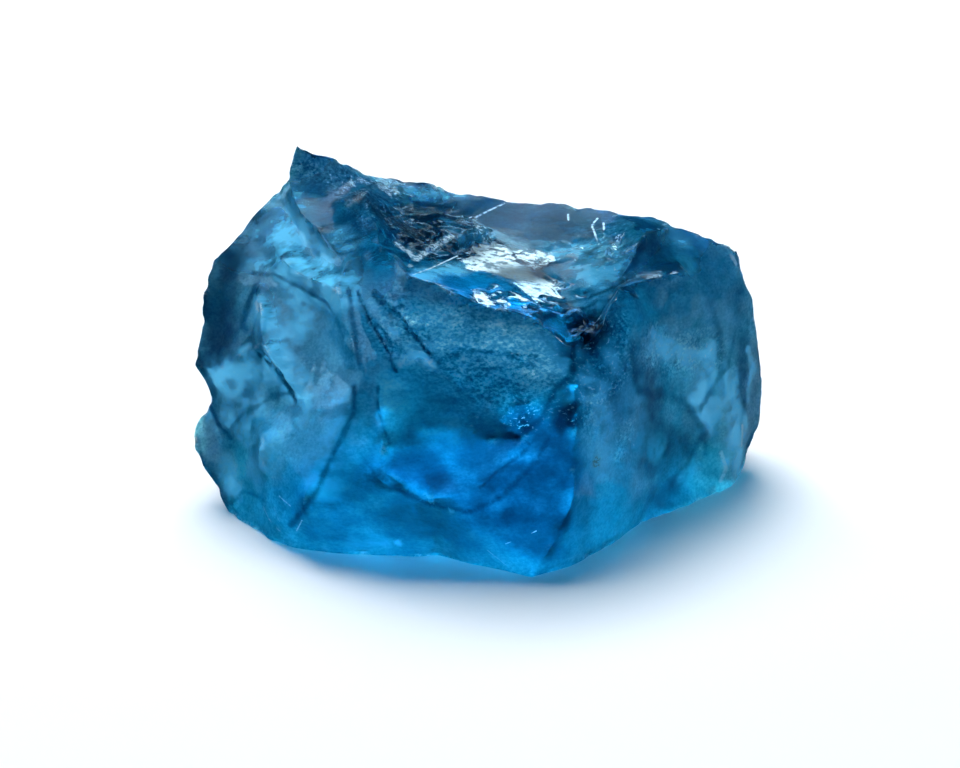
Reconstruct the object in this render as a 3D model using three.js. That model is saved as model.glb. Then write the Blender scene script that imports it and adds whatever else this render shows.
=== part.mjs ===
import * as THREE from "three";
import { TessellateModifier } from "three/addons/modifiers/TessellateModifier.js";
import { mergeVertices } from "three/addons/utils/BufferGeometryUtils.js";
import { ImprovedNoise } from "three/addons/math/ImprovedNoise.js";

// Raw topaz: one broken lump of clear blue crystal, lying on a flat cleavage face.
// Millimetres. X runs along the stone, -Y is the broken front, +Z is up.
// The stone is a closed ring-work of breaks. Each break is a face stretched over the ridges
// round it, pressed hollow or swollen, and worked with low swells and shell-like rings.

// ---- how finely the breaks are worked ----
const LONGEST_EDGE = 1.42;      // no triangle edge on a break is longer than this
const RIDGE_EASING = 1;         // rounds in which a ridge is drawn towards a curve
const FACE_EASING = 60;         // rounds in which a break is stretched over its ridges
const RIDGE_WANDER = 0.44;      // how far a ridge strays from its line
const RIDGE_WANDER_LENGTH = 2.4;
const SWELL = 0.32;             // low swells all over a break
const SWELL_LENGTH = 4.2;
const GRAIN = 0.1;              // smaller unevenness on top of the swells
const GRAIN_LENGTH = 2.1;
const RING_SPACING = 2.6;       // spacing of the shell-like rings round a blow point
const CALM_MARGIN = 1.5;        // width beside a ridge in which swells and rings fade out
const SEAM = 0.1 / 160;         // points of two breaks closer than this are one point

const STONE_COLOR = 0x1a6fa8;
const STONE_ROUGHNESS = 0.12;

// ---- corners where the breaks meet ----
const CORNERS = {
  // rim of the flat base, from the left end round the front
  foot_left: [-18.1, -3.4, 0],
  foot_left_front: [-15.1, -7.3, 0],
  foot_wedge: [-13.1, -8.7, 0],
  foot_front_left: [-8.6, -10.0, 0],
  foot_front: [-2.7, -10.1, 0],
  foot_lip: [0.4, -11.7, 0],
  foot_nose: [4.0, -13.0, 0],
  foot_nose_right: [6.1, -12.0, 0],
  foot_right_front: [11.6, -5.5, 0],
  foot_right: [18.5, 0.4, 0],
  // and on round the back
  foot_right_back: [18.6, 7.6, 0],
  foot_back_right: [10.0, 11.7, 0],
  foot_back: [-2.0, 12.2, 0],
  foot_back_left: [-13.0, 9.0, 0],
  foot_left_back: [-18.5, 1.5, 0],
  // the horn at the upper left and the outline of the left end below it
  peak: [-12.9, 4.5, 25.3],
  neck: [-13.7, 4.5, 22.6],
  left_top: [-15.6, 5.0, 20.3],
  left_brow: [-18.9, 3.5, 16.8],
  left_temple: [-19.6, 2.5, 15.0],
  left_cheek: [-20.5, 1.5, 9.3],
  left_notch: [-19.2, 0.2, 7.0],
  left_knob: [-20.9, 0.0, 4.7],
  left_chin: [-20.0, -1.5, 3.1],
  left_jaw: [-18.8, -2.5, 1.5],
  // creases of the left front
  band_top: [-13.4, 3.5, 22.1],
  band_elbow: [-13.7, 0.0, 18.2],
  band_right: [-9.2, -2.8, 19.4],
  band_low: [-9.7, -4.2, 17.7],
  cheek_top: [-15.6, -0.5, 15.5],
  cheek_low: [-18.4, -0.5, 10.2],
  crack_top: [-15.2, -2.8, 13.0],
  crack_low: [-12.3, -5.8, 10.0],
  left_hollow: [-15.3, -5.6, 6.9],
  // the wedge edge that comes down to the base left of the front
  wedge_top: [-7.6, -8.4, 12.9],
  wedge_mid: [-9.2, -9.3, 8.7],
  wedge_low: [-12.3, -9.8, 3.9],
  // front rim of the bowl on top
  bowl_left: [-7.9, 1.0, 22.5],
  bowl_front_left: [-6.8, -3.0, 20.8],
  rim_a: [-4.5, -5.6, 19.4],
  rim_b: [-1.8, -6.6, 18.8],
  rim_c: [1.3, -7.2, 17.8],
  rim_d: [3.2, -7.5, 17.4],
  rim_notch: [6.4, -8.0, 15.6],
  notch_low: [6.5, -8.3, 14.2],
  bowl_floor: [-1.0, 1.0, 18.6],
  // back rim of the bowl, with the thin bevel along its left half
  back_rim_a: [-8.1, 7.5, 22.0],
  back_rim_b: [-2.4, 8.0, 20.7],
  back_rim_c: [2.0, 7.5, 19.9],
  back_rim_d: [6.3, 7.0, 19.8],
  back_rim_e: [10.3, 5.5, 19.7],
  back_rim_f: [12.1, 5.0, 20.0],
  bevel_a: [-7.7, 6.3, 21.7],
  bevel_b: [-2.8, 6.6, 20.4],
  // steep wall at the right of the bowl
  crest: [11.8, 0.0, 20.3],
  wall_foot: [8.4, -4.4, 15.7],
  wall_edge: [8.5, -6.6, 15.9],
  wall_top: [10.0, -3.8, 18.0],
  // top right
  top_right: [13.9, 3.5, 19.5],
  shoulder_in: [15.8, 3.5, 18.8],
  shoulder: [18.7, 4.0, 17.3],
  wall_right: [14.3, -0.4, 17.5],
  column_top: [15.1, -0.4, 15.6],
  column_mid: [18.1, 2.2, 11.2],
  column_low: [16.5, 0.0, 4.2],
  pillar_top: [11.4, -4.4, 16.2],
  pillar_mid: [11.8, -5.2, 9.1],
  // outline of the right end
  right_a: [20.1, 4.8, 13.2],
  right_b: [21.3, 5.3, 6.9],
  right_c: [21.0, 4.8, 3.0],
  right_d: [20.2, 3.6, 0.7],
  // groove between the front and the right side
  groove_top: [6.5, -9.2, 12.4],
  groove_mid: [6.7, -10.6, 9.4],
  groove_low: [6.7, -12.0, 5.5],
  // the shell-shaped scar in the middle of the front
  scar_left_top: [-6.9, -8.2, 13.6],
  scar_top: [-3.4, -8.6, 14.3],
  scar_top_right: [1.5, -9.6, 10.6],
  scar_right: [3.1, -10.4, 9.3],
  scar_low_right: [-0.2, -11.9, 5.9],
  scar_low: [-3.2, -11.9, 5.3],
  scar_low_left: [-6.4, -11.2, 7.1],
  scar_left: [-6.6, -9.8, 9.9],
  // behind the horn, and half way up the back
  horn_back: [-11.5, 8.2, 18.5],
  left_back_mid: [-19.2, 4.6, 9.5],
  back_left_mid: [-17.6, 8.6, 11.0],
  back_mid: [-4.5, 13.4, 9.5],
  back_right_mid: [9.0, 12.9, 8.5],
  right_back_mid: [20.0, 9.0, 8.5],
};

// ---- the breaks: rim (counter-clockwise from outside), hollow (mm, minus bulges) ----
// blow: corner that the shell-like rings are centred on, rings: their height
const BREAKS = {
  base: {
    rim: ["foot_left", "foot_left_back", "foot_back_left", "foot_back", "foot_back_right", "foot_right_back",
      "foot_right", "foot_right_front", "foot_nose_right", "foot_nose", "foot_lip", "foot_front",
      "foot_front_left", "foot_wedge", "foot_left_front"],
    flat: true,
  },
  left_dark: {
    rim: ["left_top", "left_brow", "left_temple", "left_cheek", "cheek_low", "cheek_top", "band_elbow"],
    hollow: 0.3,
  },
  left_band: { rim: ["band_top", "neck", "left_top", "band_elbow", "band_low", "band_right"], hollow: 0.4 },
  cheek: {
    rim: ["band_elbow", "cheek_top", "crack_top", "crack_low", "wedge_top", "band_low"],
    hollow: 0.5,
  },
  cheek_chip: { rim: ["cheek_top", "cheek_low", "crack_top"], hollow: 0.2 },
  jowl: {
    rim: ["cheek_low", "left_cheek", "left_notch", "left_knob", "left_chin", "left_jaw", "foot_left",
      "foot_left_front", "left_hollow", "crack_low", "crack_top"],
    hollow: 0.4,
  },
  jaw_front: {
    rim: ["crack_low", "left_hollow", "foot_left_front", "foot_wedge", "wedge_low", "wedge_mid", "wedge_top"],
    hollow: -0.3,
  },
  horn: {
    rim: ["peak", "neck", "band_top", "band_right", "bowl_front_left", "bowl_left", "bevel_a", "back_rim_a"],
    hollow: 0.4,
  },
  splinters: {
    rim: ["bowl_front_left", "band_right", "band_low", "wedge_top", "scar_left_top", "scar_top", "rim_a"],
    hollow: -0.2,
  },
  brow: {
    rim: ["rim_a", "scar_top", "scar_top_right", "scar_right", "groove_top", "notch_low", "rim_notch",
      "rim_d", "rim_c", "rim_b"],
    hollow: 0.5,
  },
  scar: {
    rim: ["scar_left_top", "scar_left", "scar_low_left", "scar_low", "scar_low_right", "scar_right",
      "scar_top_right", "scar_top"],
    hollow: 1.0, blow: "scar_right", rings: 0.1,
  },
  wedge_strip: {
    rim: ["wedge_top", "wedge_mid", "scar_low_left", "scar_left", "scar_left_top"],
    hollow: 0.15,
  },
  front_low_left: {
    rim: ["wedge_mid", "wedge_low", "foot_wedge", "foot_front_left", "foot_front", "scar_low", "scar_low_left"],
    hollow: -0.4,
  },
  front_low: {
    rim: ["scar_low", "foot_front", "foot_lip", "foot_nose", "groove_low", "groove_mid", "scar_right",
      "scar_low_right"],
    hollow: -0.5,
  },
  groove_chip: { rim: ["scar_right", "groove_mid", "groove_top"], hollow: 0.15 },
  right_front: {
    rim: ["wall_top", "wall_edge", "notch_low", "groove_top", "groove_mid", "groove_low", "foot_nose",
      "foot_nose_right", "foot_right_front", "pillar_mid", "pillar_top"],
    hollow: -0.4,
  },
  right_middle: {
    rim: ["wall_top", "pillar_top", "pillar_mid", "foot_right_front", "foot_right", "column_low",
      "column_mid", "column_top", "wall_right"],
    hollow: 0.4,
  },
  right_end: {
    rim: ["column_mid", "column_low", "foot_right", "right_d", "right_c", "right_b", "right_a"],
    hollow: -0.3,
  },
  right_top: {
    rim: ["wall_right", "column_top", "column_mid", "right_a", "shoulder", "shoulder_in"],
    hollow: -0.4,
  },
  bowl_left: {
    rim: ["bevel_a", "bowl_left", "bowl_front_left", "rim_a", "bowl_floor", "bevel_b"],
    hollow: 0.6,
  },
  bowl_front: { rim: ["bowl_floor", "rim_a", "rim_b", "rim_c"], hollow: 0.2 },
  bowl_right: {
    rim: ["bevel_b", "bowl_floor", "rim_c", "rim_d", "rim_notch", "wall_foot", "crest", "back_rim_e",
      "back_rim_d", "back_rim_c"],
    hollow: 0.9, blow: "rim_notch", rings: 0.12,
  },
  bowl_wall: { rim: ["wall_foot", "rim_notch", "notch_low", "wall_edge", "wall_top"], hollow: 0.1 },
  bowl_wall_top: {
    rim: ["crest", "wall_foot", "wall_top", "wall_right", "shoulder_in", "top_right"],
    hollow: 0.4,
  },
  bevel: { rim: ["back_rim_a", "bevel_a", "bevel_b", "back_rim_c", "back_rim_b"], hollow: 0 },
  bevel_right: { rim: ["back_rim_e", "crest", "top_right", "back_rim_f"], hollow: 0 },
  left_end_low: {
    rim: ["left_cheek", "left_back_mid", "foot_left_back", "foot_left", "left_jaw", "left_chin",
      "left_knob", "left_notch"],
    hollow: 0.9,
  },
  left_end_top: {
    rim: ["left_brow", "back_left_mid", "left_back_mid", "left_cheek", "left_temple"],
    hollow: 0.3,
  },
  left_end_back: { rim: ["left_back_mid", "back_left_mid", "foot_back_left", "foot_left_back"], hollow: 0.2 },
  horn_back_left: { rim: ["peak", "horn_back", "left_top", "neck"], hollow: -0.2 },
  horn_back_right: { rim: ["peak", "back_rim_a", "horn_back"], hollow: -0.1 },
  back_left: {
    rim: ["back_rim_a", "back_mid", "back_left_mid", "left_brow", "left_top", "horn_back"],
    hollow: 0.3, blow: "horn_back", rings: 0.12,
  },
  back_middle: {
    rim: ["back_rim_a", "back_rim_b", "back_rim_c", "back_rim_d", "back_right_mid", "back_mid"],
    hollow: 0.9, blow: "back_rim_c", rings: 0.15,
  },
  back_right: {
    rim: ["back_rim_d", "back_rim_e", "back_rim_f", "top_right", "shoulder_in", "shoulder", "right_back_mid",
      "back_right_mid"],
    hollow: 0.6,
  },
  right_end_top: { rim: ["shoulder", "right_a", "right_b", "right_back_mid"], hollow: -0.2 },
  right_end_low: {
    rim: ["right_back_mid", "right_b", "right_c", "right_d", "foot_right", "foot_right_back"],
    hollow: 0.2,
  },
  back_low_left: { rim: ["back_left_mid", "back_mid", "foot_back", "foot_back_left"], hollow: -0.5 },
  back_low: { rim: ["back_mid", "back_right_mid", "foot_back_right", "foot_back"], hollow: 0.5 },
  back_low_right: {
    rim: ["back_right_mid", "right_back_mid", "foot_right_back", "foot_back_right"],
    hollow: -0.3,
  },
};

const corner = (name) => new THREE.Vector3(...CORNERS[name]);

function centreOf(points) {
  const sum = new THREE.Vector3();
  for (const point of points) sum.add(point);
  return sum.divideScalar(points.length);
}

// Mean outward direction of a rim that does not lie quite in one plane
function facingOf(rim) {
  const centre = centreOf(rim);
  const facing = new THREE.Vector3();
  rim.forEach((point, i) => {
    const here = point.clone().sub(centre);
    const next = rim[(i + 1) % rim.length].clone().sub(centre);
    facing.add(here.cross(next));
  });
  return facing.normalize();
}

// Points of a stretch of rim, halved again and again as the tessellation of a break does
function halved(from, to) {
  if (from.distanceTo(to) <= LONGEST_EDGE) return [from];
  const middle = from.clone().lerp(to, 0.5);
  return [...halved(from, middle), ...halved(middle, to)];
}

// A fan of triangles from the middle of a rim to each stretch of it
function fan(rim) {
  const centre = centreOf(rim);
  const triangles = rim.flatMap((point, i) => [centre, point, rim[(i + 1) % rim.length]]);
  return new THREE.BufferGeometry().setFromPoints(triangles);
}

function trianglesOf({ rim, flat }) {
  const corners = rim.map(corner);
  if (flat) return fan(corners.flatMap((point, i) => halved(point, corners[(i + 1) % corners.length])));
  return new TessellateModifier(LONGEST_EDGE, 12).modify(fan(corners));
}

// All breaks joined into one closed skin; owners[t] is the break that triangle t belongs to
function joinBreaks() {
  const coords = [];
  const owners = [];
  for (const [name, shape] of Object.entries(BREAKS)) {
    const array = trianglesOf(shape).getAttribute("position").array;
    coords.push(...array);
    for (let t = 0; t < array.length / 9; t++) owners.push(name);
  }
  const loose = new THREE.BufferGeometry();
  loose.setAttribute("position", new THREE.Float32BufferAttribute(coords, 3));
  return { skin: mergeVertices(loose, SEAM), owners };
}

// For every point: the points it touches, and the breaks that meet in it
function neighbourhood(skin, owners) {
  const index = skin.getIndex().array;
  const count = skin.getAttribute("position").count;
  const touching = Array.from({ length: count }, () => new Set());
  const breaksAt = Array.from({ length: count }, () => new Set());
  owners.forEach((name, t) => {
    for (let k = 0; k < 3; k++) {
      const here = index[3 * t + k];
      const next = index[3 * t + ((k + 1) % 3)];
      touching[here].add(next);
      touching[next].add(here);
      breaksAt[here].add(name);
    }
  });
  return { touching, breaksAt };
}

// Moves each listed point towards the middle of its neighbours, round after round
function ease(points, moving, neighboursOf, rounds, pull) {
  for (let round = 0; round < rounds; round++) {
    const next = moving.map((i) => {
      const middle = centreOf(neighboursOf(i).map((j) => points[j]));
      return points[i].clone().lerp(middle, pull);
    });
    moving.forEach((i, k) => points[i].copy(next[k]));
  }
}

const noise = new ImprovedNoise();

function noiseAt(point, length, shift) {
  return noise.noise(point.x / length + shift, point.y / length - shift, point.z / length + 7.3);
}

function wander(point) {
  const shove = [0, 11.7, 23.1].map((shift) => noiseAt(point, RIDGE_WANDER_LENGTH, shift));
  return new THREE.Vector3(...shove).multiplyScalar(RIDGE_WANDER);
}

// How far a spot is pushed out along its break's facing; depth is its distance from the ridges
function relief(spot, depth, deepest, { hollow, blow, rings = 0 }) {
  const calm = Math.min(1, depth / CALM_MARGIN);
  let push = -hollow * (1 - (1 - depth / deepest) ** 2);
  push += calm * SWELL * noiseAt(spot, SWELL_LENGTH, 3.1);
  push += calm * GRAIN * noiseAt(spot, GRAIN_LENGTH, 5.9);
  if (blow) push += calm * rings * Math.sin((2 * Math.PI * spot.distanceTo(corner(blow))) / RING_SPACING);
  return push;
}

function shapeStone() {
  const { skin, owners } = joinBreaks();
  const { touching, breaksAt } = neighbourhood(skin, owners);
  const place = skin.getAttribute("position");
  const points = breaksAt.map((_, i) => new THREE.Vector3().fromBufferAttribute(place, i));
  const everyPoint = points.map((_, i) => i);
  const ridgePoints = everyPoint.filter((i) => breaksAt[i].size > 1);
  const facePoints = everyPoint.filter((i) => breaksAt[i].size === 1);

  // Points next to each other along a ridge have two breaks in common
  const inCommon = (i, j) => [...breaksAt[i]].filter((name) => breaksAt[j].has(name)).length;
  const alongRidge = (i) => [...touching[i]].filter((j) => inCommon(i, j) > 1);
  const bends = ridgePoints.filter((i) => alongRidge(i).length === 2);
  ease(points, bends, alongRidge, RIDGE_EASING, 0.5);
  for (const i of ridgePoints) {
    const shove = wander(points[i]);
    if (breaksAt[i].has("base")) shove.z = 0;
    points[i].add(shove);
  }
  const stretched = facePoints.filter((i) => !breaksAt[i].has("base"));
  ease(points, stretched, (i) => [...touching[i]], FACE_EASING, 0.8);

  const spots = points.map((point) => point.clone());
  for (const [name, shape] of Object.entries(BREAKS)) {
    if (shape.flat) continue;
    const facing = facingOf(shape.rim.map(corner));
    const inside = facePoints.filter((i) => breaksAt[i].has(name));
    const ridge = ridgePoints.filter((i) => breaksAt[i].has(name)).map((i) => spots[i]);
    const depths = inside.map((i) => Math.min(...ridge.map((point) => point.distanceTo(spots[i]))));
    const deepest = Math.max(...depths);
    inside.forEach((i, k) => points[i].addScaledVector(facing, relief(spots[i], depths[k], deepest, shape)));
  }
  points.forEach((point, i) => place.setXYZ(i, point.x, point.y, point.z));
  return skin;
}

// Puts the origin at the middle of the stone's outline, on the surface it lies on
function centreOnBase(geometry) {
  geometry.computeBoundingBox();
  const middle = geometry.boundingBox.getCenter(new THREE.Vector3());
  geometry.translate(-middle.x, -middle.y, -geometry.boundingBox.min.z);
  geometry.computeVertexNormals();
  return geometry;
}

function blueCrystal() {
  return new THREE.MeshStandardMaterial({ color: STONE_COLOR, roughness: STONE_ROUGHNESS, metalness: 0 });
}

const topaz = new THREE.Mesh(centreOnBase(shapeStone()), blueCrystal());
topaz.name = "topaz";
const part = new THREE.Group();
part.add(topaz);

export default part;
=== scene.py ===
import math

import bmesh
import bpy
import numpy as np
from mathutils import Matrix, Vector, noise
from mathutils.bvhtree import BVHTree
from mathutils.kdtree import KDTree


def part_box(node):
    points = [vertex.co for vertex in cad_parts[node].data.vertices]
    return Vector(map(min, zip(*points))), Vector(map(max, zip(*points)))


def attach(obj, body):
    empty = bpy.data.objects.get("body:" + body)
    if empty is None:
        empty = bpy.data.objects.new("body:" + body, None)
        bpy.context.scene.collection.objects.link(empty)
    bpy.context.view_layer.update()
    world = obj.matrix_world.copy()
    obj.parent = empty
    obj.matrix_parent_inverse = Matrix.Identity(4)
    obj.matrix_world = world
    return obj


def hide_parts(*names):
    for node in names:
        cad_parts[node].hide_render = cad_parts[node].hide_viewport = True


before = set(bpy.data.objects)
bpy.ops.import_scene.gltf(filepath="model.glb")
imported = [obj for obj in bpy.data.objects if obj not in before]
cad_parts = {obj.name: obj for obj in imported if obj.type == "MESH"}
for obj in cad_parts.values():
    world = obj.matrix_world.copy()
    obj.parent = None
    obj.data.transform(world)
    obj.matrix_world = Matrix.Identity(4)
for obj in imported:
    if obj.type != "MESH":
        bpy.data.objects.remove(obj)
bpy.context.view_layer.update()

# A rough blue topaz on a pale floor. Lengths on the stone are in mm, lengths in the scene in metres.
MM = 0.001
STONE_LOW, STONE_HIGH = [np.array(corner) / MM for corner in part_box("topaz")]

# ---- camera: the photograph's viewing angle ----
CAMERA_ELEVATION = 25.0
CAMERA_DISTANCE = 187.2 * MM
CAMERA_LENS = 100.0
CAMERA_TARGET = Vector((-0.1, -5.2, 11.0)) * MM

# ---- crystal ----
IOR = 1.62
COAT_IOR = 3.2
COAT_ROUGHNESS = 0.06
SPECULAR_TINT = (0.02, 0.2, 0.3, 1.0)
ABSORPTION_COLOR = (0.0, 0.73, 0.86, 1.0)
ABSORPTION_DENSITY = 200.0
CLEARNESS = 0.68
# For red, green and blue: how fast it fades where the crystal is less clear and where shade is painted, and
# how much gets through
TINT_POWERS = (2.6, 1.88, 1.6)
TINT_SHARES = (0.3, 0.90, 0.98)
# colour of the painted sheen and glint patches
PAINTED_SHEEN_COLOR = (0.14, 0.66, 0.95, 1.0)
STAIN_COLOR = (0.07, 0.10, 0.06, 1.0)
# white of the crushed marks, also the colour of the painted glints on specks and ridges
BRUISE_AND_GLINT_COLOR = (0.65, 0.88, 0.95, 1.0)
FRONT_FROST = 0.30
BOWL_FROST = 0.05
BACK_FROST = 0.45
BUMP_HEIGHT = 0.06 * MM

# ---- the stone's fine surface (mm and degrees) ----
SHARP_ANGLE = 28.0
RIDGE_ANGLE = 35.0
CREASE_ANGLE = 22.0
CREASE_SPAN = 14.0
CALMING_ROUNDS = 14
FINER_LEVELS = 2
HACKLE_HEIGHT = 0.022
PIT_HEIGHT = 0.030
CHIP_DEPTH = 0.16
PRESS_LIMIT = 0.4
SPLINTER_SHADE = 0.55
BOWL_LOW = 12.0
BOWL_HIGH = 15.0

# ---- studio ----
FLOOR_HALF = 1.5
FLOOR_DROP = 0.02 * MM
FLOOR_COLOR = (0.9, 0.9, 0.9, 1.0)
ROOM_COLOR = (0.003, 0.06, 0.14, 1.0)
BACKDROP_COLOR = (1.1, 1.1, 1.1, 1.0)
LIGHT_AIM = Vector((0, 0, 10)) * MM
# The light that the bowl's chips throw back: azimuth from behind the stone, elevation
BACK_LIGHT = (16.0, 38.0)


# ---------- measuring on the stone (all in mm) ----------

def towards(azimuth, elevation):
    """Unit direction: azimuth 0 is behind the stone, 90 to its right."""
    turn = math.radians(azimuth)
    rise = math.radians(elevation)
    return np.array((math.sin(turn) * math.cos(rise), math.cos(turn) * math.cos(rise), math.sin(rise)))


def mirror_facing(mirrored):
    """The way a chip faces when it mirrors this direction, an azimuth and an elevation, at the camera."""
    half = towards(*mirrored) + towards(180.0, CAMERA_ELEVATION)
    return half / np.linalg.norm(half)


def falloff(distance, inner, outer):
    """1 up to inner, 0 from outer on, with a smooth change between."""
    part = np.clip((outer - distance) / (outer - inner), 0.0, 1.0)
    return part * part * (3.0 - 2.0 * part)


def away_from_route(points, route):
    """How far each point lies from a chain of spots."""
    nearest = np.linalg.norm(points - route[0], axis=1)
    for start, end in zip(route[:-1], route[1:]):
        step = end - start
        part = np.clip((points - start) @ step / (step @ step), 0.0, 1.0)
        nearest = np.minimum(nearest, np.linalg.norm(points - start - part[:, None] * step, axis=1))
    return nearest


def along_route(points, route, facing):
    """For every point: the part of a chain of spots it lies at, how far to its right, and how far off."""
    lengths = [np.linalg.norm(end - start) for start, end in zip(route[:-1], route[1:])]
    off = np.full(len(points), np.inf)
    part = np.zeros(len(points))
    right = np.zeros(len(points))
    walked = 0.0
    for start, end, length in zip(route[:-1], route[1:], lengths):
        way = (end - start) / length
        reach = (points - start) @ way
        offset = points - start - np.clip(reach, 0.0, length)[:, None] * way
        away = np.linalg.norm(offset, axis=1)
        closer = away < off
        off[closer] = away[closer]
        part[closer] = (walked + reach[closer]) / sum(lengths)
        right[closer] = (offset @ np.cross(way, facing))[closer]
        walked += length
    return part, right, off


def lumps(points, length, seed, stretch=(1.0, 1.0, 1.0)):
    """Smooth noise, about -1 to 1, at every point. length is the size of its lumps."""
    shift = np.array((7.1, 3.7, 5.3)) * seed
    places = points / (length * np.array(stretch)) + shift
    return 1.6 * np.array([noise.noise(place) for place in places])


def cast(tree, box_start, box_middle):
    """Where a line into the stone's box first meets the stone (or comes nearest), and the facing there."""
    start, middle = [STONE_LOW + (STONE_HIGH - STONE_LOW) * np.array(at) for at in (box_start, box_middle)]
    spot, facing, _, _ = tree.ray_cast(Vector(start), Vector(middle - start))
    if spot is None:
        spot, facing, _, _ = tree.find_nearest(Vector(middle))
    return np.array(spot), np.array(facing)


def front(tree, along, up):
    """A spot on the stone's front: parts of its length from the left and of its height."""
    return cast(tree, (along, -1.0, up), (along, 0.5, up))


def top(tree, along, across):
    """A spot on the stone's top: parts of its length from the left and of its depth from the front."""
    return cast(tree, (along, across, 2.0), (along, across, 0.5))


def behind(tree, along, up):
    """A spot on the stone's back: parts of its length from the front's left and of its height."""
    return cast(tree, (along, 2.0, up), (along, 0.5, up))


def traced(tree, side, spots):
    """Spots on the stone all along a line, where only a few of them are given."""
    ways = np.array(spots)
    places = np.linspace(0, len(ways) - 1, 5 * (len(ways) - 1) + 1)
    filled = np.column_stack([np.interp(places, range(len(ways)), ways[:, k]) for k in (0, 1)])
    return [side(tree, *spot)[0] for spot in filled]


# ---------- what the faces are like, with painted light and shade ---

# Painted shade, darkening the crystal's colour where less light comes through: side, spots, radius in mm,
# how dark
PAINTED_SHADE = {
    "left_end": (front, [(0.06, 0.64), (0.05, 0.49), (0.04, 0.39)], 1.9, 0.74),
    "left_hook": (front, [(0.12, 0.74), (0.17, 0.72)], 0.6, 0.45),
    "crack": (front, [(0.13, 0.49), (0.17, 0.42), (0.20, 0.39)], 0.6, 0.6),
    "notch": (front, [(0.03, 0.33), (0.04, 0.31)], 0.7, 0.45),
    "foot": (front, [(0.23, 0.12), (0.40, 0.13), (0.53, 0.13), (0.60, 0.15)], 3.2, 0.7),
    "foot_right": (front, [(0.56, 0.15), (0.60, 0.12)], 2.2, 0.6),
    "scar_glare": (front, [(0.40, 0.30), (0.42, 0.26)], 2.0, 0.8),
    "scar_foot": (front, [(0.50, 0.24)], 1.5, 0.45),
    "scar_ripple": (front, [(0.55, 0.36), (0.56, 0.31)], 0.8, 0.45),
    "jaw": (front, [(0.09, 0.05)], 0.8, 0.38),
    "horn_face": (front, [(0.25, 0.84), (0.30, 0.78)], 2.4, 0.08),
    "horn_tip": (front, [(0.21, 0.92)], 1.2, 0.12),
    "bowl_pitted": (top, [(0.34, 0.57)], 2.4, 0.7),
    "bowl_window": (top, [(0.41, 0.70), (0.43, 0.64), (0.45, 0.56), (0.40, 0.52)], 2.3, 0.87),
    "bowl_middle": (top, [(0.55, 0.44), (0.68, 0.49)], 0.9, 0.52),
    "bowl_end": (top, [(0.63, 0.32), (0.68, 0.28)], 1.2, 0.52),
    "bowl_corner": (top, [(0.60, 0.25), (0.64, 0.23), (0.67, 0.30)], 1.4, 0.93),
    "wall": (front, [(0.66, 0.59), (0.68, 0.61), (0.70, 0.64), (0.73, 0.71)], 1.3, 0.93),
    "wall_top": (front, [(0.75, 0.72), (0.77, 0.78), (0.80, 0.74)], 1.7, 0.75),
    "groove": (front, [(0.64, 0.47), (0.64, 0.42)], 1.0, 0.9),
    "groove_foot": (front, [(0.65, 0.36)], 0.8, 0.45),
    "brow_low": (front, [(0.43, 0.58), (0.53, 0.50), (0.60, 0.41)], 1.8, 0.02),
    "scar_heart": (front, [(0.41, 0.41), (0.45, 0.45)], 1.3, 0.4),
    "scar_edge": (front, [(0.32, 0.47), (0.33, 0.39)], 0.4, 0.3),
    "scar_low": (front, [(0.37, 0.33), (0.41, 0.30)], 1.2, 0.1),
    "right_column": (front, [(0.94, 0.58), (0.96, 0.32)], 1.0, 0.38),
    "right_hollow": (front, [(0.77, 0.46), (0.79, 0.36), (0.82, 0.22)], 1.3, 0.6),
    "right_dim": (front, [(0.78, 0.25), (0.80, 0.17), (0.85, 0.15), (0.80, 0.06)], 2.2, 0.78),
    "right_hand": (front, [(0.80, 0.43), (0.81, 0.40)], 1.0, 0.5),
    "right_mid": (front, [(0.74, 0.50), (0.86, 0.55), (0.90, 0.60)], 2.0, 0.1),
    "scar_right": (front, [(0.50, 0.34), (0.56, 0.37), (0.62, 0.38), (0.62, 0.30), (0.56, 0.27),
                           (0.52, 0.25)], 2.3, 0.84),
    "wedge_low": (front, [(0.24, 0.21), (0.28, 0.25), (0.32, 0.28)], 1.4, 0.6),
    "low_middle": (front, [(0.50, 0.18), (0.53, 0.16)], 1.1, 0.5),
    "scar_whole": (front, [(0.42, 0.26), (0.49, 0.26), (0.56, 0.29), (0.60, 0.24)], 2.4, 0.35),
    "low_right": (front, [(0.64, 0.23), (0.63, 0.17)], 1.2, 0.55),
    "brow_corner": (front, [(0.55, 0.41), (0.60, 0.41), (0.65, 0.43)], 1.4, 0.3),
    "brow_spot": (front, [(0.65, 0.49)], 0.9, 0.5),
    "scar_corner": (front, [(0.64, 0.30), (0.63, 0.36)], 1.5, 0.5),
    "scar_middle": (front, [(0.37, 0.34), (0.42, 0.35), (0.48, 0.33), (0.44, 0.27)], 1.7, 0.5),
    "wedge": (front, [(0.26, 0.34), (0.31, 0.30), (0.34, 0.25)], 1.9, 0.3),
    "groove_top": (front, [(0.63, 0.62), (0.67, 0.61)], 1.2, 0.6),
    "bowl_back": (top, [(0.50, 0.72), (0.58, 0.70), (0.66, 0.68)], 2.4, 0.45),
    "between_streaks": (top, [(0.54, 0.45), (0.56, 0.46), (0.60, 0.48), (0.64, 0.50)], 1.0, 0.85),
    "right_foot": (front, [(0.81, 0.04), (0.85, 0.04)], 1.3, 0.7),
    "right_shade": (front, [(0.72, 0.42), (0.69, 0.55), (0.71, 0.62)], 2.2, 0.5),
    "scar_top": (front, [(0.53, 0.42), (0.57, 0.43)], 1.0, 0.55),
    "scar_spot": (front, [(0.40, 0.36), (0.43, 0.33)], 1.0, 0.25),
    "right_pale": (front, [(0.72, 0.29), (0.74, 0.22)], 1.6, 0.2),
}
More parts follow.
